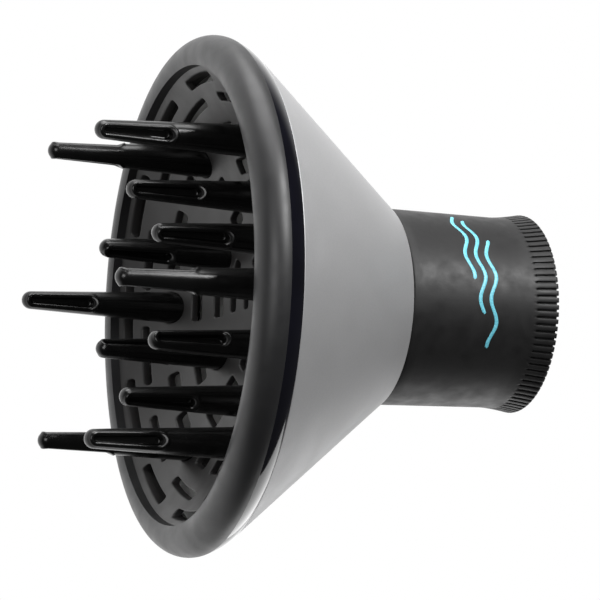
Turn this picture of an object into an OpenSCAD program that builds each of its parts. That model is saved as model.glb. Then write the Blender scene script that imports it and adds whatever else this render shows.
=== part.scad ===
// Hair-dryer diffuser: a ribbed rubber collar that grips the dryer's nozzle, and a bowl that
// swivels on it and carries a dished, vented plate with twelve fingers.
// The collar's mouth is the origin. The bore runs along Y, the fingers point along -Y, +Z is up.

/* [Bowl] */
// Widest diameter, across the rim
rim_d = 150; // [146:1:158]
// Length from the collar's mouth to the rim's widest circle
rim_z = 102.4; // [101:0.2:108]
// Radius of the rim's rounded edge
rim_round = 6.06; // [5.6:0.02:6.3]
// Diameter of the bowl's silver cone at its wide end
cone_wide_d = 144.6; // [141:0.2:146]
// Diameter of the bowl's silver cone at its narrow end
cone_narrow_d = 60.4; // [59:0.2:63]
// Wall thickness of the cone
cone_wall = 2.2; // [1.8:0.1:2.6]
// How far the bowl is turned on its swivel, in degrees
bowl_turn = 3.6; // [0:0.1:359]

/* [Plate and vents] */
// Spherical radius of the dished plate's front face
dish_r = 102; // [100:0.5:106]
// Depth of the dish's lowest point below the rim's widest circle
dish_depth = 21.5; // [20:0.5:22.5]
// Thickness of the plate
plate_t = 2; // [1.6:0.1:2.4]
// Radius of the plate where its skirt turns back under the rim
plate_edge_r = 66; // [65.5:0.1:66.4]

/* [Fingers] */
// Radius of the outer ring of fingers
outer_ring_r = 49; // [48:0.1:49.5]
// Radius of the inner ring of fingers
inner_ring_r = 29.7; // [29:0.1:30]
// Height of the outer fingers' tips above the rim's widest circle
outer_tip = 38.2; // [32:0.2:44]
// Height of the inner fingers' tips above the rim's widest circle
inner_tip = 21.3; // [16:0.1:26]
// Diameter of a finger at its root
finger_root_d = 9.3; // [8.6:0.1:9.6]
// Diameter of a finger near its round tip
finger_tip_d = 5.4; // [5:0.1:6]

/* [Collar] */
// Bore that grips the dryer's nozzle
nozzle_d = 47; // [46:0.5:49]
// Depth of that bore
nozzle_depth = 24; // [20:1:28]
// Outside diameter of the collar next to the bowl
collar_d = 58.2; // [57.6:0.1:59]
// Outside diameter of the collar where its ribs begin
waist_d = 57.2; // [56.6:0.1:57.4]
// Outside diameter over the ribbed lip
lip_d = 59.8; // [59:0.1:61]
// Length of the collar
collar_len = 46; // [44:0.5:47]
// Length of the ribs
rib_len = 6.6; // [5:0.1:8]
// Number of ribs around the lip
rib_count = 88; // [60:4:96]

/* [Hidden] */

$fn = 96;
eps = 0.01;

// Colours
SILVER = [0.66, 0.66, 0.65];
GLOSS_BLACK = [0.04, 0.04, 0.05];
SATIN_BLACK = [0.16, 0.16, 0.17];
PLATE_BLACK = [0.20, 0.20, 0.21];
RUBBER = [0.12, 0.12, 0.12];
NYLON = [0.30, 0.30, 0.31];
STEEL = [0.70, 0.71, 0.72];

// Heights are measured from the collar's mouth along the axis, towards the fingers
shell_z = collar_len + 0.4;
cone_top_z = rim_z - 6.4;
rim_seat_z = rim_z - 2;
spigot_top_z = rim_z - 3.4;
dish_z = rim_z - dish_depth;
dish_centre_z = dish_z + dish_r;

// Cone
cone_slope = (cone_wide_d - cone_narrow_d) / 2 / (cone_top_z - shell_z);
cone_wall_r = cone_wall * sqrt(1 + cone_slope * cone_slope);
cone_edge = 0.5;
spigot_r = cone_wide_d / 2 - 1.9;
spigot_wall = 2;

// Swivel: the sleeve turns in the bowl's bearing tube and a snap ring keeps it in
sleeve_r = 25.6;
sleeve_bore_r = 22.6;
running_gap = 0.05;
bearing_wall = 2.5;
bearing_top_z = shell_z + 10;
snap_z = bearing_top_z + 0.4;
snap_t = 1.6;
snap_depth = 1;
snap_r = 27.4;
snap_slit = 14;
sleeve_top_z = snap_z + snap_t + 1.6;

// Rim
rim_r = rim_d / 2 - rim_round;
band_r = rim_r + sqrt(rim_round * rim_round - 4);

// Plate
skirt_wall = 1.1;
flange_r = spigot_r - 0.2;
vent_top_z = rim_z + 10;
vent_low_z = dish_z - 10;
boss_r = 3.6;
boss_len = 7;

// Fingers
FINGERS = 6;
finger_root_r = finger_root_d / 2;
finger_tip_r = finger_tip_d / 2;
foot_r = 6.2;
foot_t = 1.4;
socket_wall = 1.75;
eye_tip_gap = 3.1;
eye_root_gap = 20.3;
eye_tip_r = 0.6;
eye_root_r = 1.2;
eye_web = 1.4;
channel_r = 1.7;
// Directions that the eyes of the fingers look in, in degrees from +X towards +Z. The other
// eye of a finger looks the opposite way
OUTER_EYES = [90, -8, 90, 0, 90, 4];
INNER_EYES = [-10, 0, -35, 60, -20, 24];

// Vent rings: inner radius, outer radius, angle that a slot spans, its middle, slots per ring
VENTS = [[61.9, 64.4, 18.8, 0, 12],
         [56.6, 58.9, 18.8, 15, 12],
         [47.0, 51.0, 11.0, 30, 6],
         [47.0, 51.0, 9.0, 13.5, 6],
         [47.0, 51.0, 9.0, 46.5, 6],
         [36.8, 41.0, 12.8, 0, 12],
         [26.6, 31.0, 14.0, 0, 6],
         [19.6, 22.6, 13.0, 0, 12],
         [12.0, 14.8, 16.0, 0, 6]];

// Deflector behind the plate
deflector_r = 18;
deflector_t = 1.8;
deflector_rise = 3;
screw_r = 1.25;
screw_head_r = 2.8;
screw_head_t = 1.8;
screw_grip = 6;

// Height of the plate's front face at a distance r from the axis
function dish_at(r) = dish_centre_z - sqrt(dish_r * dish_r - r * r);

// Rear face of the socket that a finger at ring radius r is pushed into
function socket_z(r) = dish_at(r - finger_root_r - socket_wall) - plate_t - 1;

// Height of the deflector's flat middle, which the boss behind the plate stands on
deflector_z = dish_z - boss_len;

// Turns a shape built along +Z so that +Z becomes -Y
module along_bore() {
    rotate([90, 0, 0]) children();
}

// The same for the pieces that turn with the bowl
module on_bowl() {
    along_bore() rotate([0, 0, bowl_turn]) children();
}

// A plain ring between two heights
module ring(inner_r, outer_r, low_z, high_z) {
    translate([0, 0, low_z]) difference() {
        cylinder(r = outer_r, h = high_z - low_z);
        translate([0, 0, -1]) cylinder(r = inner_r, h = high_z - low_z + 2);
    }
}

// Ribs: blunt teeth all round, cut to the lip's flared outline
module rib_teeth() {
    valley_r = waist_d / 2 - 0.05;
    crest_r = lip_d / 2 + 1;
    pitch = 360 / rib_count;
    linear_extrude(height = rib_len) polygon([
        for (i = [0 : rib_count - 1], k = [-0.34, -0.22, 0.22, 0.34])
            let (r = abs(k) > 0.3 ? valley_r : crest_r, a = (i + k) * pitch)
                [r * cos(a), r * sin(a)]
    ]);
}

module collar() {
    lip_round = 0.7;
    color(RUBBER) along_bore() difference() {
        union() {
            rotate_extrude() polygon([
                [1, 0.5], [waist_d / 2 - 0.6, 0.5], [waist_d / 2, 1], [waist_d / 2, rib_len],
                [collar_d / 2, collar_len - 0.3], [collar_d / 2 - 0.3, collar_len],
                [1, collar_len]
            ]);
            intersection() {
                rib_teeth();
                rotate_extrude() polygon([
                    [1, 0], [lip_d / 2 - lip_round, 0], [lip_d / 2, lip_round],
                    [lip_d / 2 - 0.1, 1.6], [waist_d / 2, rib_len], [1, rib_len]
                ]);
            }
            cylinder(r = waist_d / 2 - 1, h = 1);
        }
        translate([0, 0, -1]) cylinder(d = nozzle_d, h = collar_len + 2);
        translate([0, 0, nozzle_depth]) cylinder(r = sleeve_r, h = collar_len);
    }
}

module adapter_sleeve() {
    color(NYLON) along_bore() difference() {
        ring(sleeve_bore_r, sleeve_r, nozzle_depth, sleeve_top_z);
        ring(sleeve_r - snap_depth, sleeve_r + 1, snap_z, snap_z + snap_t);
    }
}

module snap_ring() {
    color(STEEL) along_bore() difference() {
        ring(sleeve_r - snap_depth, snap_r, snap_z, snap_z + snap_t);
        translate([0, 0, snap_z - 1]) linear_extrude(height = snap_t + 2)
            sector(0, snap_r + 2, snap_slit, 90);
    }
}

// Part of a flat ring that spans an angle about a middle direction
module sector(inner_r, outer_r, span, middle) {
    reach = outer_r / cos(span / 2) + 1;
    intersection() {
        difference() {
            circle(r = outer_r);
            if (inner_r > 0) circle(r = inner_r);
        }
        rotate(middle) polygon([
            [0, 0],
            [reach * cos(span / 2), -reach * sin(span / 2)],
            [reach * cos(span / 2), reach * sin(span / 2)]
        ]);
    }
}

module bowl_shell() {
    bearing_r = sleeve_r + running_gap;
    tube_r = bearing_r + bearing_wall;
    narrow_r = cone_narrow_d / 2;
    inner_r = narrow_r - cone_wall_r;
    spigot_in_r = spigot_r - spigot_wall;
    color(SILVER) on_bowl() rotate_extrude() polygon([
        [bearing_r, shell_z],
        [narrow_r - cone_edge, shell_z],
        [narrow_r, shell_z + cone_edge],
        [cone_wide_d / 2, cone_top_z],
        [spigot_r, cone_top_z],
        [spigot_r, spigot_top_z],
        [spigot_in_r, spigot_top_z],
        [spigot_in_r, shell_z + (spigot_in_r - inner_r) / cone_slope],
        [tube_r, shell_z + (tube_r - inner_r) / cone_slope],
        [tube_r, bearing_top_z],
        [bearing_r, bearing_top_z]
    ]);
}

module gloss_band() {
    bulge = 0.35;
    wide_r = cone_wide_d / 2;
    mid_r = (wide_r + band_r) / 2 + bulge;
    mid_z = (cone_top_z + rim_seat_z) / 2;
    color(GLOSS_BLACK) on_bowl() rotate_extrude() polygon([
        [spigot_r, cone_top_z], [wide_r, cone_top_z], [mid_r, mid_z],
        [band_r, rim_seat_z], [spigot_r, rim_seat_z]
    ]);
}

module rim_bumper() {
    color(SATIN_BLACK) on_bowl() rotate_extrude() intersection() {
        translate([rim_r, rim_z]) circle(r = rim_round);
        translate([plate_edge_r, rim_seat_z]) square([20, 20]);
    }
}

// The pattern of slots, seen along the axis
module vent_pattern() {
    for (v = VENTS)
        for (i = [0 : v[4] - 1])
            sector(v[0], v[1], v[2], v[3] + i * 360 / v[4]);
}

module at_fingers(ring_r, first) {
    for (i = [0 : FINGERS - 1])
        rotate([0, 0, first + i * 360 / FINGERS]) translate([ring_r, 0, 0]) children();
}

module finger_plate() {
    skirt_low_z = rim_seat_z - 1.4;
    socket_r = finger_root_r + socket_wall;
    color(PLATE_BLACK) on_bowl() difference() {
        union() {
            intersection() {
                translate([0, 0, dish_centre_z]) sphere(r = dish_r + plate_t, $fn = 128);
                cylinder(r = plate_edge_r, h = dish_at(plate_edge_r));
            }
            ring(plate_edge_r - skirt_wall, plate_edge_r, skirt_low_z, dish_at(plate_edge_r) - 0.5);
            ring(plate_edge_r - skirt_wall, flange_r, skirt_low_z, rim_seat_z);
            at_fingers(outer_ring_r, 0) translate([0, 0, socket_z(outer_ring_r)])
                cylinder(r = socket_r, h = 8);
            at_fingers(inner_ring_r, 30) translate([0, 0, socket_z(inner_ring_r)])
                cylinder(r = socket_r, h = 5);
            translate([0, 0, deflector_z]) cylinder(r = boss_r, h = boss_len - 0.5);
        }
        translate([0, 0, dish_centre_z]) sphere(r = dish_r, $fn = 128);
        translate([0, 0, vent_low_z]) linear_extrude(height = vent_top_z - vent_low_z)
            vent_pattern();
        at_fingers(outer_ring_r, 0) cylinder(r = finger_root_r, h = rim_z);
        at_fingers(inner_ring_r, 30) cylinder(r = finger_root_r, h = rim_z);
        translate([0, 0, deflector_z - 1]) cylinder(r = screw_r, h = screw_grip + 1);
    }
}

// Outline of a finger's long eyes, narrower at the tip end
module eye_outline(length) {
    tip_x = length - eye_tip_gap;
    root_x = length - eye_root_gap;
    union() {
        translate([tip_x, 0]) circle(r = eye_tip_r, $fn = 32);
        translate([root_x, 0]) circle(r = eye_root_r, $fn = 32);
        polygon([[root_x, -eye_root_r], [tip_x, -eye_tip_r], [tip_x, eye_tip_r], [root_x, eye_root_r]]);
    }
}

// Outline of a finger on one side of its axis: foot, straight root, tapered stem, round tip
module finger_outline(foot_z, taper_z, tip_z) {
    round_z = tip_z - finger_tip_r;
    polygon([
        [0, foot_z - foot_t], [foot_r, foot_z - foot_t], [foot_r, foot_z],
        [finger_root_r, foot_z], [finger_root_r, taper_z],
        [finger_tip_r, round_z], [0, round_z]
    ]);
    intersection() {
        translate([0, round_z]) circle(r = finger_tip_r);
        translate([0, round_z - 1]) square([finger_tip_r, finger_tip_r + 1]);
    }
}

// One finger standing at its place, with an eye on either side of a thin web. One looks along
// the direction eye, and the air channel opens into the root end of both
module finger(ring_r, around, tip_z, eye) {
    foot_z = socket_z(ring_r);
    taper_z = dish_at(ring_r + finger_root_r);
    channel_top_z = tip_z - eye_root_gap;
    rotate([0, 0, around]) translate([ring_r, 0, 0]) rotate([0, 0, eye - around - bowl_turn])
        difference() {
            rotate_extrude() finger_outline(foot_z, taper_z, tip_z);
            translate([0, 0, foot_z - foot_t - 1])
                cylinder(r = channel_r, h = channel_top_z - foot_z + foot_t + 1);
            rotate([0, -90, 0]) for (start = [-finger_root_d, eye_web / 2])
                translate([0, 0, start]) linear_extrude(height = finger_root_d - eye_web / 2)
                    eye_outline(tip_z);
        }
}

module outer_finger(i) {
    color(GLOSS_BLACK) on_bowl()
        finger(outer_ring_r, i * 360 / FINGERS, rim_z + outer_tip, OUTER_EYES[i]);
}

module inner_finger(i) {
    color(GLOSS_BLACK) on_bowl()
        finger(inner_ring_r, 30 + i * 360 / FINGERS, rim_z + inner_tip, INNER_EYES[i]);
}

module air_deflector() {
    color(NYLON) on_bowl() difference() {
        rotate_extrude() polygon([
            [0, deflector_z - deflector_t],
            [boss_r + 2, deflector_z - deflector_t],
            [deflector_r, deflector_z - deflector_t + deflector_rise],
            [deflector_r, deflector_z + deflector_rise],
            [boss_r + 2, deflector_z],
            [0, deflector_z]
        ]);
        translate([0, 0, deflector_z - deflector_t - 1]) cylinder(r = screw_r, h = deflector_t + 2);
    }
}

module deflector_screw() {
    head_z = deflector_z - deflector_t;
    slot_w = 0.9;
    color(STEEL) on_bowl() difference() {
        union() {
            translate([0, 0, head_z - screw_head_t]) cylinder(r = screw_head_r, h = screw_head_t);
            translate([0, 0, head_z - eps])
                cylinder(r = screw_r, h = deflector_t + screw_grip - 0.5 + eps);
        }
        for (turn = [0, 90])
            rotate([0, 0, turn]) translate([-slot_w * 2, -slot_w / 2, head_z - screw_head_t - 1])
                cube([slot_w * 4, slot_w, 2]);
    }
}

collar();
adapter_sleeve();
snap_ring();
bowl_shell();
gloss_band();
rim_bumper();
finger_plate();
for (i = [0 : FINGERS - 1]) {
    outer_finger(i);
    inner_finger(i);
}
air_deflector();
deflector_screw();
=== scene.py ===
"""Looks of a hair-dryer diffuser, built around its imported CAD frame.

Sizes below are in millimetres. A piece is made in its own frame, where z runs from the collar's
mouth towards the fingertips, and to_row() turns that into the row frame in metres.
"""

import functools
import math

import bmesh
import bpy
from mathutils import Matrix, Vector
from mathutils.geometry import delaunay_2d_cdt


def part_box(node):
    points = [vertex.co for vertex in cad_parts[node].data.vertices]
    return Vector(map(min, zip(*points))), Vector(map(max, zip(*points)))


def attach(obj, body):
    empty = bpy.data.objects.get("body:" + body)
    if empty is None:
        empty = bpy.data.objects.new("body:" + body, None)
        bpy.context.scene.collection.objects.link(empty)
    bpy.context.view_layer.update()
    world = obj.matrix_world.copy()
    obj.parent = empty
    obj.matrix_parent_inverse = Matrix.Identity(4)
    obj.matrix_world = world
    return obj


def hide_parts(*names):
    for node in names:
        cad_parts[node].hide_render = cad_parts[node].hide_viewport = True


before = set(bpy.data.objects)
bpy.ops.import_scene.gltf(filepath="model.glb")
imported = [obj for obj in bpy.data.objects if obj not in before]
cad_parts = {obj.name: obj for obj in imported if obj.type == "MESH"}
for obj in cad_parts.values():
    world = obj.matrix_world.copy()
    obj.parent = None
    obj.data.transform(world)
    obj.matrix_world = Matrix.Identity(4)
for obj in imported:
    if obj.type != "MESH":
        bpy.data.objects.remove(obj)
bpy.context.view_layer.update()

MM = 0.001
BOWL_TURN = math.radians(3.6)
STEPS = 240  # segments of a revolved piece


@functools.cache
def reach(node):
    """A node's largest radius about the axis and its lowest and highest z, in millimetres."""
    low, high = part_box(node)
    return high.x / MM, -high.y / MM, -low.y / MM


# ---------------------------------------------------------------- camera

CAMERA_AT = (0.6745, -0.3245, -0.0130)
CAMERA_RIGHT = (0.35377, 0.93401, 0.04977)
CAMERA_UP = (0.0, -0.05322, 0.99858)
CAMERA_BACK = (0.93533, -0.35326, -0.01883)
CAMERA_LENS = 147.96


def make_camera():
    data = bpy.data.cameras.new("camera")
    data.lens = CAMERA_LENS
    data.sensor_width = 36
    data.clip_start = 0.01
    data.clip_end = 20
    camera = bpy.data.objects.new("camera", data)
    bpy.context.scene.collection.objects.link(camera)
    turn = Matrix((CAMERA_RIGHT, CAMERA_UP, CAMERA_BACK)).transposed()
    camera.matrix_world = Matrix.Translation(CAMERA_AT) @ turn.to_4x4()
    bpy.context.scene.camera = camera


# ---------------------------------------------------------------- mesh tools


def to_row(x, y, z, turn):
    """A point of a piece's own frame in the row frame, in metres."""
    c, s = math.cos(turn), math.sin(turn)
    return Vector((x * c - y * s, -z, x * s + y * c)) * MM


def polar(r, angle, z):
    return (r * math.cos(angle), r * math.sin(angle), z)


def build(name, points, faces, material, turn=0.0, sharp=30):
    """A mesh object from points in a piece's own frame, with doubles merged and smooth shading."""
    mesh = bpy.data.meshes.new(name)
    mesh.from_pydata([to_row(*p, turn) for p in points], [], faces)
    work = bmesh.new()
    work.from_mesh(mesh)
    bmesh.ops.remove_doubles(work, verts=work.verts, dist=2e-6)
    bmesh.ops.dissolve_degenerate(work, edges=work.edges, dist=1e-7)
    bmesh.ops.recalc_face_normals(work, faces=work.faces)
    work.to_mesh(mesh)
    work.free()
    mesh.polygons.foreach_set("use_smooth", [True] * len(mesh.polygons))
    mesh.set_sharp_from_angle(angle=math.radians(sharp))
    mesh.materials.append(material)
    obj = bpy.data.objects.new(name, mesh)
    bpy.context.scene.collection.objects.link(obj)
    return obj


def arc_between(centre, start, end, steps):
    """Points from centre + start to centre + end, turning evenly between the two vectors."""
    angle = start.angle(end)
    points = []
    for i in range(steps + 1):
        t = i / steps
        near, far = math.sin((1 - t) * angle), math.sin(t * angle)
        points.append(centre + (start * near + end * far) / math.sin(angle))
    return points


def rounded(corners, steps=5):
    """A closed outline of (r, z) points, where a third number rounds the corner with that radius."""
    outline = []
    for i, corner in enumerate(corners):
        here = Vector(corner[:2])
        if len(corner) == 2:
            outline.append(here)
            continue
        back = (Vector(corners[i - 1][:2]) - here).normalized()
        ahead = (Vector(corners[(i + 1) % len(corners)][:2]) - here).normalized()
        half = back.angle(ahead) / 2
        centre = here + (back + ahead).normalized() * corner[2] / math.sin(half)
        touch = corner[2] / math.tan(half)
        outline += arc_between(
            centre, here + back * touch - centre, here + ahead * touch - centre, steps
        )
    return outline


def join_rows(count, rows, closed_rows=False):
    """Quads between rows of count points each, where each row is a closed loop."""
    faces = []
    for row in range(rows if closed_rows else rows - 1):
        low, high = row * count, (row + 1) % rows * count
        for i in range(count):
            j = (i + 1) % count
            faces.append((low + i, low + j, high + j, high + i))
    return faces


def revolve(name, outline, material, turn=0.0, steps=STEPS, sharp=30):
    """A solid of revolution from a closed outline of (r, z) points."""
    points = [
        polar(r, 2 * math.pi * i / steps, z) for r, z in outline for i in range(steps)
    ]
    faces = join_rows(steps, len(outline), closed_rows=True)
    return build(name, points, faces, material, turn, sharp)


# ---------------------------------------------------------------- materials


class Look:
    """A Principled material whose colour, roughness and bump come from noise in object space."""

    def __init__(self, name, colour, roughness, **inputs):
        self.material = bpy.data.materials.new(name)
        self.material.use_nodes = True
        self.tree = self.material.node_tree
        self.shader = self.tree.nodes["Principled BSDF"]
        self.shader.inputs["Base Color"].default_value = (*colour, 1)
        self.shader.inputs["Roughness"].default_value = roughness
        for socket, value in inputs.items():
            self.shader.inputs[socket.replace("_", " ")].default_value = value
        self.colour = colour
        self.roughness = roughness
        self.place = self.node("ShaderNodeTexCoord").outputs["Object"]
        self.normal = None

    def node(self, kind, **values):
        made = self.tree.nodes.new(kind)
        for key, value in values.items():
            setattr(made, key, value)
        return made

    def link(self, output, target):
        self.tree.links.new(output, target)

    def noise(self, size, detail=3.0, stretch=(1, 1, 1), distortion=0.0):
        """Noise with features of about size millimetres, from 0 to 1."""
        mapping = self.node("ShaderNodeMapping")
        mapping.inputs["Scale"].default_value = [s / (size * MM) for s in stretch]
        self.link(self.place, mapping.inputs["Vector"])
        noise = self.node("ShaderNodeTexNoise")
        noise.inputs["Scale"].default_value = 1
        noise.inputs["Detail"].default_value = detail
        noise.inputs["Distortion"].default_value = distortion
        self.link(mapping.outputs["Vector"], noise.inputs["Vector"])
        return noise.outputs["Fac"]

    def spread(self, factor, low, high, start=0.3, end=0.7):
        """The factor's range from start to end turned into numbers from low to high."""
        spread = self.node("ShaderNodeMapRange")
        spread.inputs["From Min"].default_value = start
        spread.inputs["From Max"].default_value = end
        spread.inputs["To Min"].default_value = low
        spread.inputs["To Max"].default_value = high
        self.link(factor, spread.inputs["Value"])
        return spread.outputs["Result"]

    def tint(self, factor, amount, other=None):
        """Varies the colour by amount between dark and light, or towards another colour."""
        mix = self.node("ShaderNodeMix", data_type="RGBA")
        dark = [c * (1 - amount) for c in self.colour]
        light = other or [min(1, c * (1 + amount)) for c in self.colour]
        mix.inputs["A"].default_value = (*dark, 1)
        mix.inputs["B"].default_value = (*light, 1)
        self.link(self.spread(factor, 0, 1), mix.inputs["Factor"])
        self.link(mix.outputs["Result"], self.shader.inputs["Base Color"])
        return self

    def wear(self, factor, amount):
        """Varies the roughness by amount on either side."""
        low, high = self.roughness - amount, self.roughness + amount
        self.link(self.spread(factor, low, high), self.shader.inputs["Roughness"])
        return self

    def bump(self, factor, height, strength=1.0):
        """Adds relief of height millimetres, on top of any before it."""
        bump = self.node("ShaderNodeBump")
        bump.inputs["Strength"].default_value = strength
        bump.inputs["Distance"].default_value = height * MM
        self.link(factor, bump.inputs["Height"])
        if self.normal:
            self.link(self.normal, bump.inputs["Normal"])
        self.normal = bump.outputs["Normal"]
        self.link(self.normal, self.shader.inputs["Normal"])
        return self


def silver_paint():
    look = Look("silver_paint", (0.44, 0.44, 0.445), 0.5, Metallic=0.5)
    look.tint(look.noise(0.35, detail=2), 0.045)
    look.wear(look.noise(9, detail=4), 0.03)
    look.bump(look.noise(0.9, detail=2), 0.008, 0.5)
    return look.material


# Painted light: the cone's inner wall is the outside silver made lighter, painted brighter to stand
# in for light falling in through the vents.
def brightened_inner_silver():
    look = Look("brightened_inner_silver", (0.62, 0.62, 0.61), 0.38, Metallic=0.7)
    look.tint(look.noise(6, detail=4), 0.05)
    look.wear(look.noise(3, detail=3), 0.06)
    look.bump(look.noise(0.5, detail=3), 0.01, 0.6)
    return look.material


def gloss_black():
    look = Look("gloss_black", (0.003, 0.003, 0.006), 0.09, Coat_Weight=0.3)
    look.shader.inputs["Coat Roughness"].default_value = 0.04
    look.tint(look.noise(14, detail=3), 0.25)
    look.wear(look.noise(4, detail=5), 0.03)
    look.bump(look.noise(7, detail=1), 0.015, 0.35)
    return look.material


def satin_black():
    look = Look("satin_black", (0.017, 0.017, 0.018), 0.44)
    look.tint(look.noise(11, detail=5), 0.08)
    look.wear(look.noise(5, detail=5), 0.05)
    look.bump(look.noise(0.45, detail=3), 0.012, 0.6)
    return look.material


def plate_black():
    look = Look("plate_black", (0.021, 0.020, 0.020), 0.42)
    look.tint(look.noise(13, detail=5), 0.09)
    look.wear(look.noise(6, detail=5), 0.05)
    look.bump(look.noise(0.5, detail=3), 0.014, 0.6)
    return look.material


def finger_black():
    look = Look("finger_black", (0.003, 0.003, 0.003), 0.24)
    look.tint(look.noise(5, detail=4), 0.2)
    look.wear(look.noise(6, detail=4), 0.035)
    look.bump(look.noise(5, detail=1), 0.02, 0.25)
    return look.material


def rubber():
    look = Look("rubber", (0.009, 0.0088, 0.009), 0.52, Specular_IOR_Level=0.38)
    look.shader.inputs["Sheen Weight"].default_value = 0.05
    look.shader.inputs["Sheen Roughness"].default_value = 0.45
    look.tint(look.noise(8, detail=5, distortion=0.4), 0.16)
    look.wear(look.noise(4, detail=5), 0.08)
    look.bump(look.noise(0.35, detail=4), 0.02, 0.6)
    look.bump(look.noise(6, detail=2), 0.04, 0.25)
    return look.material


def nylon():
    look = Look("nylon", (0.045, 0.045, 0.048), 0.55)
    look.tint(look.noise(7, detail=4), 0.12)
    look.wear(look.noise(3, detail=4), 0.07)
    look.bump(look.noise(0.4, detail=3), 0.02, 0.7)
    return look.material


def steel():
    look = Look("steel", (0.62, 0.62, 0.63), 0.3, Metallic=1.0)
    look.tint(look.noise(0.25, detail=3, stretch=(0.1, 1, 1)), 0.1)
    look.wear(look.noise(0.5, detail=4, stretch=(0.1, 1, 1)), 0.08)
    look.bump(look.noise(0.2, detail=2, stretch=(0.1, 1, 1)), 0.01, 0.6)
    return look.material


def teal_print():
    look = Look("teal_print", (0.10, 0.46, 0.58), 0.42)
    look.tint(look.noise(0.6, detail=4), 0.1, other=(0.20, 0.62, 0.74))
    look.wear(look.noise(0.8, detail=3), 0.06)
    look.bump(look.noise(0.25, detail=2), 0.01, 0.5)
    return look.material


# ---------------------------------------------------------------- bowl

WALL = 2.2
CONE_WIDE_R = 72.3
CONE_NARROW_R = 30.2
CONE_START = 0.4  # how much smaller the cone's line is at its narrow end, before the rounding
BEARING_R = 25.65
BEARING_WALL = 2.5
BEARING_LEN = 10
SPIGOT_R = 70.4
SPIGOT_WALL = 2
SPIGOT_LEN = 3


def bowl_shell(outer, inner):
    _, shell_z, spigot_top_z = reach("bowl_shell")
    cone_top_z = spigot_top_z - SPIGOT_LEN
    slope = (CONE_WIDE_R - CONE_NARROW_R + CONE_START) / (cone_top_z - shell_z)
    inner_r = CONE_NARROW_R - WALL * math.hypot(1, slope)
    tube_r = BEARING_R + BEARING_WALL
    spigot_in_r = SPIGOT_R - SPIGOT_WALL
    outline = rounded(
        [
            (BEARING_R, shell_z, 0.3),
            (CONE_NARROW_R - 0.05, shell_z, 0.7),
            (CONE_WIDE_R, cone_top_z, 0.25),
            (SPIGOT_R, cone_top_z),
            (SPIGOT_R, spigot_top_z, 0.3),
            (spigot_in_r, spigot_top_z, 0.3),
            (spigot_in_r, shell_z + (spigot_in_r - inner_r) / slope),
            (tube_r, shell_z + (tube_r - inner_r) / slope, 0.6),
            (tube_r, shell_z + BEARING_LEN, 0.3),
            (BEARING_R, shell_z + BEARING_LEN, 0.3),
        ]
    )
    piece = revolve("bowl_cone", outline, outer, BOWL_TURN)
    piece.data.materials.append(inner)
    # Faces inside the cone get the second material, the silver painted brighter as light falling in
    # through the vents.
    for face in piece.data.polygons:
        r = math.hypot(face.center.x, face.center.z) / MM
        z = -face.center.y / MM
        if r < CONE_NARROW_R - 0.9 + (z - shell_z) * slope and z > shell_z + 1:
            face.material_index = 1
    return piece


BAND_BULGE = 0.35
BAND_STEPS = 12


def gloss_band(material):
    band_r, low_z, high_z = reach("gloss_band")
    mid = ((CONE_WIDE_R + band_r) / 2 + BAND_BULGE, (low_z + high_z) / 2)
    start, end = Vector((CONE_WIDE_R, low_z)), Vector((band_r, high_z))
    bow = []
    for i in range(BAND_STEPS + 1):
        t = i / BAND_STEPS
        bow.append(
            start * (1 - t) ** 2
            + (Vector(mid) * 2 - (start + end) / 2) * 2 * t * (1 - t)
            + end * t * t
        )
    outline = [Vector((SPIGOT_R, low_z)), *bow, Vector((SPIGOT_R, high_z))]
    return revolve("gloss_trim", outline, material, BOWL_TURN)


RIM_ROUND = 6.06
RIM_STEPS = 40


def rim_bumper(material):
    rim_r, seat_z, front_z = reach("rim_bumper")
    centre = Vector((rim_r - RIM_ROUND, front_z - RIM_ROUND))
    inner_r = PLATE_EDGE_R
    start = math.asin((seat_z - centre.y) / RIM_ROUND)
    end = math.pi - math.acos((centre.x - inner_r) / RIM_ROUND)
    arc = []
    for i in range(RIM_STEPS + 1):
        angle = start + (end - start) * i / RIM_STEPS
        arc.append(centre + Vector((math.cos(angle), math.sin(angle))) * RIM_ROUND)
    outline = [Vector((inner_r, seat_z)), *arc]
    return revolve("rim_ring", outline, material, BOWL_TURN)


# ---------------------------------------------------------------- finger plate

DISH_R = 102
DISH_CENTRE_Z = 182.9
PLATE_T = 2
PLATE_EDGE_R = 66
PLATE_ROUND = 0.35  # rounding of the slots' edges
PLATE_MARGIN = 0.3  # flat strip round each rounding, which keeps the shading clean
SKIRT_WALL = 1.1
SOCKET_WALL = 1.75
BOSS_R = 3.6
SCREW_HOLE_R = 1.25
SCREW_HOLE_LEN = 6.5
HOLE_STEPS = 48  # segments of a round hole, a socket or the boss
GRID_STEP = 2.4  # spacing of the dish's inner points from ring to ring
GRID_ALONG = 2.6  # and along a ring
FINGER_ROOT_R = 4.65
SLOT_CORNER = 1.0
# Vent rings: inner radius, outer radius, degrees a slot spans, the first one's middle, how many
VENTS = (
    (61.9, 64.4, 18.8, 0, 12),
    (56.6, 58.9, 18.8, 15, 12),
    (47.0, 51.0, 11.0, 30, 6),
    (47.0, 51.0, 9.0, 13.5, 6),
    (47.0, 51.0, 9.0, 46.5, 6),
    (36.8, 41.0, 12.8, 0, 12),
    (26.6, 31.0, 14.0, 0, 6),
    (19.6, 22.6, 13.0, 0, 12),
    (12.0, 14.8, 16.0, 0, 6),
)


def dish_front(r):
    return DISH_CENTRE_Z - math.sqrt(DISH_R**2 - r * r)


def dish_back(r):
    return DISH_CENTRE_Z - math.sqrt((DISH_R + PLATE_T) ** 2 - r * r)


def all_slots():
    """(inner radius, outer radius, half the span, middle) of each vent slot, in radians."""
    return [
        (a, b, math.radians(span / 2), math.radians(first + i * 360 / count))
        for a, b, span, first, count in VENTS
        for i in range(count)
    ]


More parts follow.
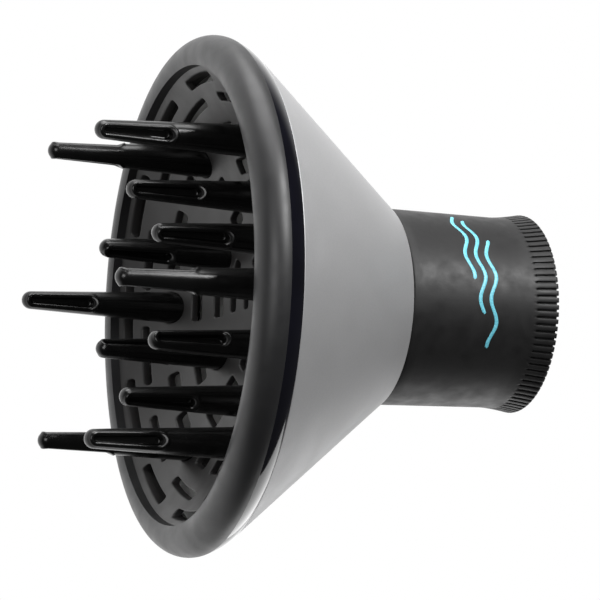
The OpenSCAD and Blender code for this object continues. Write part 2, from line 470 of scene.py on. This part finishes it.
def turn_about(centre, radius, start, end, steps):
    return [
        (
            centre[0] + radius * math.cos(start + (end - start) * i / steps),
            centre[1] + radius * math.sin(start + (end - start) * i / steps),
        )
        for i in range(steps + 1)
    ]


def slot_outline(slot, grow):
    """A vent slot with round corners, grown outwards by grow, as (x, y) points."""
    a, b, half, middle = slot
    steps = max(4, round(half * 2 * b / 1.3))
    c = SLOT_CORNER
    out_at = half - math.asin(c / (b - c))
    in_at = half - math.asin(c / (a + c))
    right = math.pi / 2
    points = turn_about((0, 0), b + grow, middle - out_at, middle + out_at, steps)
    corner = (
        (b - c) * math.cos(middle + out_at),
        (b - c) * math.sin(middle + out_at),
    )
    points += turn_about(
        corner, c + grow, middle + out_at, middle + half + right, 4
    )[1:]
    corner = ((a + c) * math.cos(middle + in_at), (a + c) * math.sin(middle + in_at))
    points += turn_about(
        corner, c + grow, middle + half + right, middle + in_at + math.pi, 4
    )
    points += turn_about(
        (0, 0), a - grow, middle + in_at, middle - in_at, steps
    )[1:]
    corner = ((a + c) * math.cos(middle - in_at), (a + c) * math.sin(middle - in_at))
    points += turn_about(
        corner, c + grow, middle - in_at + math.pi, middle - half + 3 * right, 4
    )[1:]
    corner = (
        (b - c) * math.cos(middle - out_at),
        (b - c) * math.sin(middle - out_at),
    )
    points += turn_about(
        corner, c + grow, middle - half + 3 * right, middle - out_at + 4 * right, 4
    )[:-1]
    return points


def circle_outline(centre, radius, steps):
    return turn_about(centre, radius, 0, 2 * math.pi, steps)[:-1]


def inside(point, outline):
    """True if the (x, y) point is in the closed outline."""
    x, y = point
    found = False
    for i, (xa, ya) in enumerate(outline):
        xb, yb = outline[i - 1]
        if (ya > y) != (yb > y) and x < (xb - xa) * (y - ya) / (yb - ya) + xa:
            found = not found
    return found


def near_slot(x, y, slots, gap):
    r, angle = math.hypot(x, y), math.atan2(y, x)
    for a, b, half, middle in slots:
        off = abs((angle - middle + math.pi) % (2 * math.pi) - math.pi)
        if a - gap < r < b + gap and off < half + gap / max(r, 1):
            return True
    return False


def filled(holes, slots, round_holes, edge_r, surface):
    """Triangles over the dish out to edge_r that leave the holes open, as (points, faces)."""
    loops = [circle_outline((0, 0), edge_r, STEPS), *holes]
    flat, edges = [], []
    for loop in loops:
        first = len(flat)
        flat += [Vector(p) for p in loop]
        edges += [(first + i, first + (i + 1) % len(loop)) for i in range(len(loop))]
    flat.append(Vector((0, 0)))
    for ring in range(1, int(edge_r / GRID_STEP)):
        r = ring * GRID_STEP
        count = max(6, round(2 * math.pi * r / GRID_ALONG))
        for i in range(count):
            x, y, _ = polar(r, 2 * math.pi * (i + ring % 2 / 2) / count, 0)
            if near_slot(x, y, slots, 1.3):
                continue
            if any(math.dist((x, y), c) < radius + 0.8 for c, radius in round_holes):
                continue
            flat.append(Vector((x, y)))
    points, _, faces, _, _, _ = delaunay_2d_cdt(flat, edges, [], 0, 1e-6)
    boxes = []
    for hole in holes:
        xs, ys = [p[0] for p in hole], [p[1] for p in hole]
        boxes.append((min(xs), max(xs), min(ys), max(ys), hole))
    kept = []
    for face in faces:
        x = sum(points[i].x for i in face) / 3
        y = sum(points[i].y for i in face) / 3
        near = [h for x0, x1, y0, y1, h in boxes if x0 < x < x1 and y0 < y < y1]
        if not any(inside((x, y), hole) for hole in near):
            kept.append(tuple(face))
    return [(p.x, p.y, surface(p.length)) for p in points], kept


def edge_rows(size, over, under):
    """(grow, height) steps round a hole's wall: rounded at the front and at the back."""
    rows = [(size + PLATE_MARGIN, over, 0), (size, over, 0)]
    for degrees in (30, 60, 90):
        angle = math.radians(degrees)
        rows.append(
            (size * (1 - math.sin(angle)), over, -size * (1 - math.cos(angle)))
        )
    for degrees in (90, 60, 30):
        angle = math.radians(degrees)
        rows.append(
            (size * (1 - math.sin(angle)), under, size * (1 - math.cos(angle)))
        )
    return rows + [(size, under, 0), (size + PLATE_MARGIN, under, 0)]


def finger_plate(material, places):
    """The dished plate with its vent slots, finger sockets, centre boss and turned-back skirt."""
    slots = all_slots()
    _, boss_z, _ = reach("finger_plate")
    _, seat_z, _ = reach("rim_bumper")
    points, faces = [], []

    def add(new_points, new_faces):
        first = len(points)
        points.extend(new_points)
        faces.extend(tuple(first + i for i in face) for face in new_faces)

    wide = PLATE_ROUND + PLATE_MARGIN
    for slot in slots:
        rows = [
            [(x, y, surface(math.hypot(x, y)) + lift) for x, y in slot_outline(slot, grow)]
            for grow, surface, lift in edge_rows(PLATE_ROUND, dish_front, dish_back)
        ]
        count = len(rows[0])
        add(sum(rows, []), join_rows(count, len(rows)))

    socket_r = FINGER_ROOT_R + SOCKET_WALL
    hole_r = FINGER_ROOT_R + 0.03
    lip = 0.25
    for x, y in places:
        ring_r = math.hypot(x, y)
        socket_z = dish_front(ring_r - socket_r) - PLATE_T - 1

        def loop(r, z):
            circle = circle_outline((x, y), r, HOLE_STEPS)
            return [(a, b, z(math.hypot(a, b)) if callable(z) else z) for a, b in circle]

        rows = [
            loop(hole_r + wide, dish_front),
            loop(hole_r + lip, dish_front),
            loop(hole_r, lambda r: dish_front(r) - lip),
            loop(hole_r, socket_z + 0.2),
            loop(hole_r + 0.2, socket_z),
            loop(socket_r - 0.3, socket_z),
            loop(socket_r, socket_z + 0.3),
            loop(socket_r, dish_back),
        ]
        add(sum(rows, []), join_rows(HOLE_STEPS, len(rows)))

    boss = [
        (SCREW_HOLE_R, boss_z + SCREW_HOLE_LEN),
        (SCREW_HOLE_R, boss_z + 0.2),
        (SCREW_HOLE_R + 0.2, boss_z),
        (BOSS_R - 0.3, boss_z),
        (BOSS_R, boss_z + 0.3),
        (BOSS_R, dish_back(BOSS_R)),
    ]
    rows = [
        [(a, b, z) for a, b in circle_outline((0, 0), r, HOLE_STEPS)] for r, z in boss
    ]
    add(sum(rows, []), join_rows(HOLE_STEPS, len(rows)))
    add(
        [*rows[0], (0, 0, boss_z + SCREW_HOLE_LEN)],
        [(i, (i + 1) % HOLE_STEPS, HOLE_STEPS) for i in range(HOLE_STEPS)],
    )

    flange_r = SPIGOT_R - 0.2
    skirt_in_r = PLATE_EDGE_R - SKIRT_WALL
    front_r = PLATE_EDGE_R - 0.3
    edge = [
        (front_r, dish_front(front_r)),
        (PLATE_EDGE_R - 0.05, dish_front(PLATE_EDGE_R) - 0.1),
        (PLATE_EDGE_R - 0.01, dish_front(PLATE_EDGE_R) - 0.5),
        (PLATE_EDGE_R - 0.01, seat_z - 0.01),
        (flange_r, seat_z - 0.01),
        (flange_r, seat_z - 1.4),
        (skirt_in_r, seat_z - 1.4),
        (skirt_in_r, dish_back(skirt_in_r)),
    ]
    rows = [[(a, b, z) for a, b in circle_outline((0, 0), r, STEPS)] for r, z in edge]
    add(sum(rows, []), join_rows(STEPS, len(rows)))

    vent_holes = [slot_outline(slot, wide) for slot in slots]
    round_front = [(p, hole_r + wide) for p in places]
    round_back = [(p, socket_r) for p in places] + [((0, 0), BOSS_R)]
    front = [circle_outline(p, r, HOLE_STEPS) for p, r in round_front]
    back = [circle_outline(p, r, HOLE_STEPS) for p, r in round_back]
    add(*filled(vent_holes + front, slots, round_front, front_r, dish_front))
    add(*filled(vent_holes + back, slots, round_back, skirt_in_r, dish_back))
    return build("vent_plate", points, faces, material, BOWL_TURN, sharp=40)


# ---------------------------------------------------------------- fingers

FINGER_TIP_R = 2.7
FOOT_R = 6.2
FOOT_T = 1.4
CHANNEL_R = 1.7
EYE_TIP_GAP = 3.1
EYE_ROOT_GAP = 20.3
EYE_TIP_R = 0.6
EYE_ROOT_R = 1.2
EYE_WEB = 1.4  # what is left between the eyes on the two sides
AIR_HOLE_H = 0.12  # how near the middle plane the air hole at an eye's root end reaches
LIP_TIP = 1.75  # how far the eye's rounded lip spreads, at the tip end and at the root end
LIP_ROOT = 1.85
LIP_DEPTH = 1.25
LIP_BEAD = 0.28  # how far the lip stands proud of the finger
ARC = 16  # segments of half a turn round a finger
# Where points lie along an eye's side, from the tip end to the root end
SIDE = (0.08, 0.17, 0.25, 0.34, 0.42, 0.5, 0.59, 0.67, 0.76, 0.85, 0.93, 0.985)
# Directions that the eyes look in, in degrees from +X towards +Z
EYES = {
    "outer_finger": (90, -8, 90, 0, 90, 4),
    "inner_finger": (-10, 0, -35, 60, -20, 24),
}


class Finger:
    """One finger: a tapered stem with a round tip and a long, thick-lipped eye on two sides."""

    def __init__(self, node, eye):
        low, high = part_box(node)
        self.x = (low.x + high.x) / 2 / MM
        self.y = (low.z + high.z) / 2 / MM
        self.tip = -low.y / MM
        self.foot = -high.y / MM
        self.ring_r = math.hypot(self.x, self.y)
        self.cap = self.tip - FINGER_TIP_R
        self.taper = dish_front(self.ring_r + FINGER_ROOT_R)
        self.eye = math.radians(eye)
        self.low = self.tip - EYE_ROOT_GAP - EYE_ROOT_R - LIP_ROOT - 1.2

    def radius(self, z):
        if z <= self.taper:
            return FINGER_ROOT_R
        share = min(1, (z - self.taper) / (self.cap - self.taper))
        return FINGER_ROOT_R + (FINGER_TIP_R - FINGER_ROOT_R) * share

    def height(self, z, w):
        """How far the round surface stands from the plane through the axis, at a width w."""
        if z > self.cap:
            return math.sqrt(max(0, FINGER_TIP_R**2 - (z - self.cap) ** 2 - w * w))
        return math.sqrt(max(0, self.radius(z) ** 2 - w * w))

    def loop(self, share, shrink=1):
        """The eye's outline spread towards the lip's outer edge, or shrunk to its middle line."""
        tip_z, root_z = self.tip - EYE_TIP_GAP, self.tip - EYE_ROOT_GAP
        tip_r = (EYE_TIP_R + LIP_TIP * share) * shrink
        root_r = (EYE_ROOT_R + LIP_ROOT * share) * shrink
        points = []
        for i in range(ARC + 1):
            a = math.pi * (i / ARC - 0.5)
            points.append((tip_z + tip_r * math.cos(a), tip_r * math.sin(a)))
        for t in SIDE:
            points.append((tip_z + (root_z - tip_z) * t, tip_r + (root_r - tip_r) * t))
        for i in range(ARC + 1):
            a = math.pi * (i / ARC + 0.5)
            points.append((root_z + root_r * math.cos(a), root_r * math.sin(a)))
        for t in reversed(SIDE):
            points.append((tip_z + (root_z - tip_z) * t, -tip_r - (root_r - tip_r) * t))
        return points

    def border(self):
        """Where the patch round the eye ends: the finger's silhouette and a cut across the stem."""
        points = []
        for i in range(ARC + 1):
            a = math.pi * (i / ARC - 0.5)
            points.append(
                (self.cap + FINGER_TIP_R * math.cos(a), FINGER_TIP_R * math.sin(a))
            )
        for t in SIDE:
            z = self.cap + (self.low - self.cap) * t
            points.append((z, self.radius(z)))
        low_r = self.radius(self.low)
        for i in range(ARC + 1):
            a = math.pi * (0.5 - i / ARC)
            points.append((self.low, low_r * math.sin(a)))
        for t in reversed(SIDE):
            z = self.cap + (self.low - self.cap) * t
            points.append((z, -self.radius(z)))
        return points

    def floor(self, share, shrink, lift=0):
        """A row of (z, w, h) points on the web, or in the air hole at the eye's root end."""
        hole_z = self.tip - EYE_ROOT_GAP + 0.01
        return [
            (z, w, (EYE_WEB / 2 if z > hole_z else AIR_HOLE_H) + lift)
            for z, w in self.loop(share, shrink)
        ]

    def rows(self):
        """Rows of (z, w, h) points from the eye's middle line out to the patch's border."""
        rows = [self.floor(0, shrink) for shrink in (0, 0.5, 0.88)]
        rows.append(self.floor(0, 1, 0.15))
        for degrees in (90, 76, 62, 48, 36, 26, 18, 11, 5, 0):
            a = math.radians(degrees)
            share = 1 - math.sin(a)
            drop = LIP_DEPTH * (1 - math.cos(a))
            drop -= LIP_BEAD * min(1, degrees / 11) * math.cos(a)
            rows.append([(z, w, self.height(z, w) - drop) for z, w in self.loop(share)])
        start, end = self.loop(1), self.border()
        spread = 5
        for k in range(1, spread + 1):
            t = math.sin(math.pi / 2 * k / spread)
            row = []
            for (za, wa), (zb, wb) in zip(start, end):
                z, w = za + (zb - za) * t, wa + (wb - wa) * t
                on_edge = k == spread and zb > self.low + 1e-6
                row.append((z, w, 0 if on_edge else self.height(z, w)))
            rows.append(row)
        return rows

    def place(self, z, w, h):
        c, s = math.cos(self.eye), math.sin(self.eye)
        return (self.x + h * c - w * s, self.y + h * s + w * c, z)

    def mesh(self):
        rows = self.rows()
        count = len(rows[0])
        points, faces = [], []
        for side in (1, -1):
            first = len(points)
            points += [self.place(z, w, h * side) for row in rows for z, w, h in row]
            faces += [
                tuple(first + i for i in face) for face in join_rows(count, len(rows))
            ]
        self.stem(points, faces)
        return points, faces

    def stem(self, points, faces):
        """The round part below the eye, with the foot and the air channel in it."""
        top = self.low
        levels = [(self.radius(top), top)]
        levels += [
            (self.radius(top + (self.taper - top) * t / 4), top + (self.taper - top) * t / 4)
            for t in range(1, 5)
        ]
        ring = [
            *levels,
            (FINGER_ROOT_R, self.foot + FOOT_T),
            (FOOT_R - 0.2, self.foot + FOOT_T),
            (FOOT_R, self.foot + FOOT_T - 0.2),
            (FOOT_R, self.foot + 0.2),
            (FOOT_R - 0.2, self.foot),
            (CHANNEL_R + 0.2, self.foot),
            (CHANNEL_R, self.foot + 0.2),
            (CHANNEL_R, top - 1.2),
            (CHANNEL_R * 0.7, top - 0.5),
            (0.01, top - 0.2),
        ]
        count = 2 * ARC
        first = len(points)
        for r, z in ring:
            for i in range(count):
                a = math.pi * (0.5 - i / ARC)
                points.append(self.place(z, r * math.sin(a), r * math.cos(a)))
        faces += [tuple(first + i for i in f) for f in join_rows(count, len(ring))]


def make_fingers(material):
    fingers = []
    for kind, eyes in EYES.items():
        for i, eye in enumerate(eyes):
            node = f"{kind}_{i + 1}"
            finger = Finger(node, eye)
            points, faces = finger.mesh()
            piece = build(f"eye_{node}", points, faces, material, sharp=50)
            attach(piece, "bowl")
            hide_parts(node)
            fingers.append(finger)
    return fingers


# ---------------------------------------------------------------- collar

RIBS = 88
NOZZLE_R = 23.5
NOZZLE_DEPTH = 24
SLEEVE_R = 25.6
WAIST_R = 28.6
COLLAR_R = 29.1
FLARE_Z = 11  # where the lip starts to flare
END_ROUND = 0.6  # rounding of the collar's other end
RIB_START = 6.5
RIB_DEPTH = 0.8
# Where a rib's crest, flanks and valley lie in one pitch, and how deep each is cut
RIB_SHAPE = (
    (-0.31, 0.06),
    (-0.26, 0.0),
    (0.0, 0.0),
    (0.26, 0.0),
    (0.31, 0.06),
    (0.36, 0.92),
    (0.5, 1.0),
    (0.64, 0.92),
)


def collar_path():
    """(radius, z, outward direction, depth of the ribs' valleys) along the collar's outline."""
    lip_r, mouth_z, end_z = reach("collar")
    lip_round = 0.9
    path = []
    for z, r in (
        (end_z, COLLAR_R - 0.7),
        (end_z - 0.06, COLLAR_R - 0.4),
        (end_z - 0.25, COLLAR_R - 0.12),
        (end_z - END_ROUND, COLLAR_R),
    ):
        path.append((r, z, (1, 0), 0))
    for i in range(1, 13):
        t = i / 12
        z = end_z - END_ROUND + (FLARE_Z - end_z + END_ROUND) * t
        path.append((COLLAR_R + (WAIST_R - COLLAR_R) * t, z, (1, 0), 0))
    levels = (9.8, 8.8, 8.0, 7.4, 6.9, 6.6, 6.3, 6.0, 5.6, 5.0, 4.2, 3.4, 2.6, 1.8, 1.2)
    for z in levels:
        t = (FLARE_Z - z) / (FLARE_Z - lip_round)
        depth = min(1, max(0, (RIB_START + 0.5 - z) / 1.0))
        r = WAIST_R + (lip_r - WAIST_R) * t**1.6
        path.append((r, z, (1, 0), RIB_DEPTH * math.sin(depth * math.pi / 2)))
    centre_r = lip_r - lip_round
    for degrees in (0, 18, 36, 54, 72, 90):
        a = math.radians(degrees)
        path.append(
            (
                centre_r + lip_round * math.cos(a),
                mouth_z + lip_round * (1 - math.sin(a)),
                (math.cos(a), -math.sin(a)),
                RIB_DEPTH * (1 - 0.25 * degrees / 90),
            )
        )
    for r, depth in ((28.4, 0.6), (27.8, 0.52), (27.4, 0.3), (27.1, 0.0), (26.2, 0.0)):
        path.append((r, mouth_z, (0, -1), depth))
    for r, z in (
        (NOZZLE_R + 0.8, mouth_z),
        (NOZZLE_R + 0.35, mouth_z + 0.12),
        (NOZZLE_R + 0.1, mouth_z + 0.4),
        (NOZZLE_R, mouth_z + 0.8),
        (NOZZLE_R, 8),
        (NOZZLE_R, 16),
        (NOZZLE_R, NOZZLE_DEPTH - 0.3),
        (NOZZLE_R + 0.3, NOZZLE_DEPTH),
        (SLEEVE_R + 0.02, NOZZLE_DEPTH),
        (SLEEVE_R + 0.02, end_z - 0.4),
        (SLEEVE_R + 0.4, end_z),
    ):
        path.append((r, z, (0, 0), 0))
    return path


def collar(material):
    path = collar_path()
    points = []
    for r, z, (out_r, out_z), depth in path:
        for rib in range(RIBS):
            for at, cut in RIB_SHAPE:
                angle = 2 * math.pi * (rib + at) / RIBS
                lower = depth * cut
                points.append(polar(r - out_r * lower, angle, z - out_z * lower))
    count = RIBS * len(RIB_SHAPE)
    faces = join_rows(count, len(path), closed_rows=True)
    return build("rubber_collar", points, faces, material, sharp=38)


# Each wave of the printed mark: its height along the axis, start and end in degrees
MARK_WAVES = ((27.4, 18.0, 72.0), (24.0, -2.0, 66.0), (20.6, -22.0, 46.0))
MARK_WIDTH = 1.15
MARK_LIFT = 0.05
MARK_SWING = 1.0
MARK_LENGTH = 27.0  # degrees from one crest to the next
# Across a ribbon: the share of half its width, and the share of its lift
MARK_PROFILE = ((-1, 0), (-0.88, 1), (0, 1), (0.88, 1), (1, 0))


def collar_surface(z):
    """The collar's radius at a height on its straight part."""
    _, _, end_z = reach("collar")
    straight = end_z - END_ROUND - FLARE_Z
    t = min(1, max(0, (end_z - END_ROUND - z) / straight))
    return COLLAR_R + (WAIST_R - COLLAR_R) * t


def wave(points, faces, middle, start, end):
    """One ribbon of the mark with round ends, laid on the collar."""
    steps = round((end - start) / 0.75)
    cap = MARK_WIDTH / 2 / COLLAR_R * 180 / math.pi
    first = len(points)
    for i in range(steps + 1):
        at = start + (end - start) * i / steps
        gap = min(at - start, end - at)
        share = math.sqrt(max(0.02, 1 - (1 - min(1, gap / cap)) ** 2))
        swing = MARK_SWING * math.sin(2 * math.pi * at / MARK_LENGTH)
        for edge, lift in MARK_PROFILE:
            z = middle + swing + edge * share * MARK_WIDTH / 2
            r = collar_surface(z) + MARK_LIFT * lift + 0.005
            points.append(polar(r, math.radians(at), z))
    across = len(MARK_PROFILE)
    for i in range(steps):
        for j in range(across - 1):
            a = first + i * across + j
            faces.append((a, a + 1, a + across + 1, a + across))


def collar_mark(material):
    """A made-up air sign in place of any name: three staggered waves."""
    points, faces = [], []
    for middle, start, end in MARK_WAVES:
        wave(points, faces, middle, start, end)
    return build("air_mark", points, faces, material, sharp=60)


# ---------------------------------------------------------------- studio

DARK_SIDE = (0.94, 0.32, 0.0)  # the studio is darkest this way, behind the camera's right
BRIGHT = 1.35  # the backdrop's light away from the dark side
DIM = 0.05  # and on it


def soft_box(name, at, target, size, power):
    data = bpy.data.lights.new(name, "AREA")
    data.shape = "RECTANGLE"
    data.size, data.size_y = size
    data.energy = power
    light = bpy.data.objects.new(name, data)
    light.location = at
    aim = Vector(target) - Vector(at)
    light.rotation_mode = "QUATERNION"
    light.rotation_quaternion = aim.to_track_quat("-Z", "Y")
    bpy.context.scene.collection.objects.link(light)


def backdrop():
    """A white backdrop that lights the object from behind and hardly at all from DARK_SIDE."""
    world = bpy.data.worlds.new("studio")
    world.use_nodes = True
    bpy.context.scene.world = world
    tree = world.node_tree
    nodes, links = tree.nodes, tree.links
    nodes.clear()
    place = nodes.new("ShaderNodeTexCoord")
    aim = nodes.new("ShaderNodeVectorMath")
    aim.operation = "DOT_PRODUCT"
    aim.inputs[1].default_value = Vector(DARK_SIDE).normalized()
    links.new(place.outputs["Generated"], aim.inputs[0])
    ramp = nodes.new("ShaderNodeMapRange")
    ramp.interpolation_type = "SMOOTHSTEP"
    ramp.inputs["From Min"].default_value = -0.8
    ramp.inputs["From Max"].default_value = 0.1
    ramp.inputs["To Min"].default_value = BRIGHT
    ramp.inputs["To Max"].default_value = DIM
    links.new(aim.outputs["Value"], ramp.inputs["Value"])
    lighting = nodes.new("ShaderNodeBackground")
    lighting.inputs["Color"].default_value = (1, 1, 1, 1)
    links.new(ramp.outputs["Result"], lighting.inputs["Strength"])
    white = nodes.new("ShaderNodeBackground")
    white.inputs["Color"].default_value = (1, 1, 1, 1)
    white.inputs["Strength"].default_value = 1.0
    path = nodes.new("ShaderNodeLightPath")
    mix = nodes.new("ShaderNodeMixShader")
    links.new(path.outputs["Is Camera Ray"], mix.inputs["Fac"])
    links.new(lighting.outputs["Background"], mix.inputs[1])
    links.new(white.outputs["Background"], mix.inputs[2])
    output = nodes.new("ShaderNodeOutputWorld")
    links.new(mix.outputs["Shader"], output.inputs["Surface"])


def studio():
    backdrop()
    middle = (0, -0.07, 0)
    soft_box("key_light", (0.60, 0.24, 0.52), middle, (0.3, 0.3), 7.5)
    soft_box("top_light", (0.05, -0.15, 0.8), middle, (0.7, 0.6), 6.5)
    soft_box("under_light", (-0.35, 0.45, -0.6), middle, (0.6, 0.6), 1.9)
    soft_box("rim_light", (0.72, -0.56, 0.16), (0.03, -0.11, 0), (0.4, 0.4), 2.2)
    scene = bpy.context.scene
    scene.view_settings.view_transform = "Standard"
    scene.view_settings.look = "None"


# ---------------------------------------------------------------- assembly


def stands_for(piece, node, body):
    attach(piece, body)
    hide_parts(node)


def finish_cad_node(node, material, sharp=30):
    """A carried-over CAD node: its own mesh, shaded smooth, with a procedural material."""
    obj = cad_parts[node]
    obj.data.polygons.foreach_set("use_smooth", [True] * len(obj.data.polygons))
    obj.data.set_sharp_from_angle(angle=math.radians(sharp))
    for i in range(len(obj.data.materials)):
        obj.data.materials[i] = material
    if not obj.data.materials:
        obj.data.materials.append(material)


def main():
    make_camera()
    fingers = make_fingers(finger_black())
    turn = (math.cos(BOWL_TURN), math.sin(BOWL_TURN))
    places = [
        (f.x * turn[0] + f.y * turn[1], f.y * turn[0] - f.x * turn[1]) for f in fingers
    ]
    stands_for(finger_plate(plate_black(), places), "finger_plate", "bowl")
    shell = bowl_shell(silver_paint(), brightened_inner_silver())
    stands_for(shell, "bowl_shell", "bowl")
    stands_for(gloss_band(gloss_black()), "gloss_band", "bowl")
    stands_for(rim_bumper(satin_black()), "rim_bumper", "bowl")
    stands_for(collar(rubber()), "collar", "grip")
    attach(collar_mark(teal_print()), "grip")
    moulded, metal = nylon(), steel()
    finish_cad_node("adapter_sleeve", moulded)
    finish_cad_node("air_deflector", moulded)
    finish_cad_node("snap_ring", metal)
    finish_cad_node("deflector_screw", metal)
    studio()


main()
